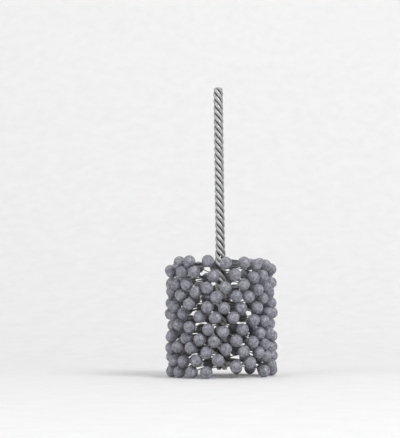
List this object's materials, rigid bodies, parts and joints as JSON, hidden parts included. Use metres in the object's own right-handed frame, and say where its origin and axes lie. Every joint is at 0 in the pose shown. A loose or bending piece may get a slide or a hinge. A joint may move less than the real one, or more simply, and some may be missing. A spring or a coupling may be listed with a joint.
{
  "type": "flexible ball hone",
  "caption": "Flexible ball hone: a twisted-wire stem whose nylon filaments carry abrasive globules, for deburring and plateau-finishing cylinder bores.",
  "frame": {"origin": "on the stem's axis, level with the lowest globules", "axes": "+Z along the stem from the brush towards the shank's tip; X and Y are any two directions across it, the brush being alike all round"},
  "size_m": [0.079, 0.0788, 0.2032],
  "materials": {
    "stem_steel": "galvanised drawn wire, satin",
    "filament_nylon": "extruded nylon monofilament, semi-matt",
    "globule_abrasive": "resin-bonded abrasive grit, rough and matt"
  },
  "bodies": {
    "stem": {"stem_wire_1": "stem_steel", "stem_wire_2": "stem_steel", "stem_wire_3": "stem_steel", "stem_wire_4": "stem_steel"},
    "tuft_01": {"filaments_01": "filament_nylon", "globules_01": "globule_abrasive"},
    "tuft_02": {"filaments_02": "filament_nylon", "globules_02": "globule_abrasive"},
    "tuft_03": {"filaments_03": "filament_nylon", "globules_03": "globule_abrasive"},
    "tuft_04": {"filaments_04": "filament_nylon", "globules_04": "globule_abrasive"},
    "tuft_05": {"filaments_05": "filament_nylon", "globules_05": "globule_abrasive"},
    "tuft_06": {"filaments_06": "filament_nylon", "globules_06": "globule_abrasive"},
    "tuft_07": {"filaments_07": "filament_nylon", "globules_07": "globule_abrasive"},
    "tuft_08": {"filaments_08": "filament_nylon", "globules_08": "globule_abrasive"},
    "tuft_09": {"filaments_09": "filament_nylon", "globules_09": "globule_abrasive"},
    "tuft_10": {"filaments_10": "filament_nylon", "globules_10": "globule_abrasive"},
    "tuft_11": {"filaments_11": "filament_nylon", "globules_11": "globule_abrasive"},
    "tuft_12": {"filaments_12": "filament_nylon", "globules_12": "globule_abrasive"},
    "tuft_13": {"filaments_13": "filament_nylon", "globules_13": "globule_abrasive"},
    "tuft_14": {"filaments_14": "filament_nylon", "globules_14": "globule_abrasive"},
    "tuft_15": {"filaments_15": "filament_nylon", "globules_15": "globule_abrasive"},
    "tuft_16": {"filaments_16": "filament_nylon", "globules_16": "globule_abrasive"},
    "tuft_17": {"filaments_17": "filament_nylon", "globules_17": "globule_abrasive"},
    "tuft_18": {"filaments_18": "filament_nylon", "globules_18": "globule_abrasive"},
    "tuft_19": {"filaments_19": "filament_nylon", "globules_19": "globule_abrasive"},
    "tuft_20": {"filaments_20": "filament_nylon", "globules_20": "globule_abrasive"},
    "tuft_21": {"filaments_21": "filament_nylon", "globules_21": "globule_abrasive"},
    "tuft_22": {"filaments_22": "filament_nylon", "globules_22": "globule_abrasive"}
  },
  "joints": [
    {"name": "lag_01", "type": "hinge", "parent": "stem", "child": "tuft_01", "pos_m": [0, 0, 0.04], "axis": [0, 0, 1], "range_deg": [-15, 15], "stiffness_Nm_per_rad": 0.033, "deforming": ["filaments_01"]},
    {"name": "lag_02", "type": "hinge", "parent": "stem", "child": "tuft_02", "pos_m": [0, 0, 0.04], "axis": [0, 0, 1], "range_deg": [-15, 15], "stiffness_Nm_per_rad": 0.033, "deforming": ["filaments_02"]},
    {"name": "lag_03", "type": "hinge", "parent": "stem", "child": "tuft_03", "pos_m": [0, 0, 0.04], "axis": [0, 0, 1], "range_deg": [-15, 15], "stiffness_Nm_per_rad": 0.033, "deforming": ["filaments_03"]},
    {"name": "lag_04", "type": "hinge", "parent": "stem", "child": "tuft_04", "pos_m": [0, 0, 0.04], "axis": [0, 0, 1], "range_deg": [-15, 15], "stiffness_Nm_per_rad": 0.033, "deforming": ["filaments_04"]},
    {"name": "lag_05", "type": "hinge", "parent": "stem", "child": "tuft_05", "pos_m": [0, 0, 0.04], "axis": [0, 0, 1], "range_deg": [-15, 15], "stiffness_Nm_per_rad": 0.033, "deforming": ["filaments_05"]},
    {"name": "lag_06", "type": "hinge", "parent": "stem", "child": "tuft_06", "pos_m": [0, 0, 0.04], "axis": [0, 0, 1], "range_deg": [-15, 15], "stiffness_Nm_per_rad": 0.033, "deforming": ["filaments_06"]},
    {"name": "lag_07", "type": "hinge", "parent": "stem", "child": "tuft_07", "pos_m": [0, 0, 0.04], "axis": [0, 0, 1], "range_deg": [-15, 15], "stiffness_Nm_per_rad": 0.033, "deforming": ["filaments_07"]},
    {"name": "lag_08", "type": "hinge", "parent": "stem", "child": "tuft_08", "pos_m": [0, 0, 0.04], "axis": [0, 0, 1], "range_deg": [-15, 15], "stiffness_Nm_per_rad": 0.033, "deforming": ["filaments_08"]},
    {"name": "lag_09", "type": "hinge", "parent": "stem", "child": "tuft_09", "pos_m": [0, 0, 0.04], "axis": [0, 0, 1], "range_deg": [-15, 15], "stiffness_Nm_per_rad": 0.033, "deforming": ["filaments_09"]},
    {"name": "lag_10", "type": "hinge", "parent": "stem", "child": "tuft_10", "pos_m": [0, 0, 0.04], "axis": [0, 0, 1], "range_deg": [-15, 15], "stiffness_Nm_per_rad": 0.033, "deforming": ["filaments_10"]},
    {"name": "lag_11", "type": "hinge", "parent": "stem", "child": "tuft_11", "pos_m": [0, 0, 0.04], "axis": [0, 0, 1], "range_deg": [-15, 15], "stiffness_Nm_per_rad": 0.033, "deforming": ["filaments_11"]},
    {"name": "lag_12", "type": "hinge", "parent": "stem", "child": "tuft_12", "pos_m": [0, 0, 0.04], "axis": [0, 0, 1], "range_deg": [-15, 15], "stiffness_Nm_per_rad": 0.033, "deforming": ["filaments_12"]},
    {"name": "lag_13", "type": "hinge", "parent": "stem", "child": "tuft_13", "pos_m": [0, 0, 0.04], "axis": [0, 0, 1], "range_deg": [-15, 15], "stiffness_Nm_per_rad": 0.033, "deforming": ["filaments_13"]},
    {"name": "lag_14", "type": "hinge", "parent": "stem", "child": "tuft_14", "pos_m": [0, 0, 0.04], "axis": [0, 0, 1], "range_deg": [-15, 15], "stiffness_Nm_per_rad": 0.033, "deforming": ["filaments_14"]},
    {"name": "lag_15", "type": "hinge", "parent": "stem", "child": "tuft_15", "pos_m": [0, 0, 0.04], "axis": [0, 0, 1], "range_deg": [-15, 15], "stiffness_Nm_per_rad": 0.033, "deforming": ["filaments_15"]},
    {"name": "lag_16", "type": "hinge", "parent": "stem", "child": "tuft_16", "pos_m": [0, 0, 0.04], "axis": [0, 0, 1], "range_deg": [-15, 15], "stiffness_Nm_per_rad": 0.033, "deforming": ["filaments_16"]},
    {"name": "lag_17", "type": "hinge", "parent": "stem", "child": "tuft_17", "pos_m": [0, 0, 0.04], "axis": [0, 0, 1], "range_deg": [-15, 15], "stiffness_Nm_per_rad": 0.033, "deforming": ["filaments_17"]},
    {"name": "lag_18", "type": "hinge", "parent": "stem", "child": "tuft_18", "pos_m": [0, 0, 0.04], "axis": [0, 0, 1], "range_deg": [-15, 15], "stiffness_Nm_per_rad": 0.033, "deforming": ["filaments_18"]},
    {"name": "lag_19", "type": "hinge", "parent": "stem", "child": "tuft_19", "pos_m": [0, 0, 0.04], "axis": [0, 0, 1], "range_deg": [-15, 15], "stiffness_Nm_per_rad": 0.033, "deforming": ["filaments_19"]},
    {"name": "lag_20", "type": "hinge", "parent": "stem", "child": "tuft_20", "pos_m": [0, 0, 0.04], "axis": [0, 0, 1], "range_deg": [-15, 15], "stiffness_Nm_per_rad": 0.033, "deforming": ["filaments_20"]},
    {"name": "lag_21", "type": "hinge", "parent": "stem", "child": "tuft_21", "pos_m": [0, 0, 0.04], "axis": [0, 0, 1], "range_deg": [-15, 15], "stiffness_Nm_per_rad": 0.033, "deforming": ["filaments_21"]},
    {"name": "lag_22", "type": "hinge", "parent": "stem", "child": "tuft_22", "pos_m": [0, 0, 0.04], "axis": [0, 0, 1], "range_deg": [-15, 15], "stiffness_Nm_per_rad": 0.033, "deforming": ["filaments_22"]}
  ],
  "couplings": [
    {"joint": "lag_02", "follows": "lag_01", "ratio": 1},
    {"joint": "lag_03", "follows": "lag_01", "ratio": 1},
    {"joint": "lag_04", "follows": "lag_01", "ratio": 1},
    {"joint": "lag_05", "follows": "lag_01", "ratio": 1},
    {"joint": "lag_06", "follows": "lag_01", "ratio": 1},
    {"joint": "lag_07", "follows": "lag_01", "ratio": 1},
    {"joint": "lag_08", "follows": "lag_01", "ratio": 1},
    {"joint": "lag_09", "follows": "lag_01", "ratio": 1},
    {"joint": "lag_10", "follows": "lag_01", "ratio": 1},
    {"joint": "lag_11", "follows": "lag_01", "ratio": 1},
    {"joint": "lag_12", "follows": "lag_01", "ratio": 1},
    {"joint": "lag_13", "follows": "lag_01", "ratio": 1},
    {"joint": "lag_14", "follows": "lag_01", "ratio": 1},
    {"joint": "lag_15", "follows": "lag_01", "ratio": 1},
    {"joint": "lag_16", "follows": "lag_01", "ratio": 1},
    {"joint": "lag_17", "follows": "lag_01", "ratio": 1},
    {"joint": "lag_18", "follows": "lag_01", "ratio": 1},
    {"joint": "lag_19", "follows": "lag_01", "ratio": 1},
    {"joint": "lag_20", "follows": "lag_01", "ratio": 1},
    {"joint": "lag_21", "follows": "lag_01", "ratio": 1},
    {"joint": "lag_22", "follows": "lag_01", "ratio": 1}
  ]
}
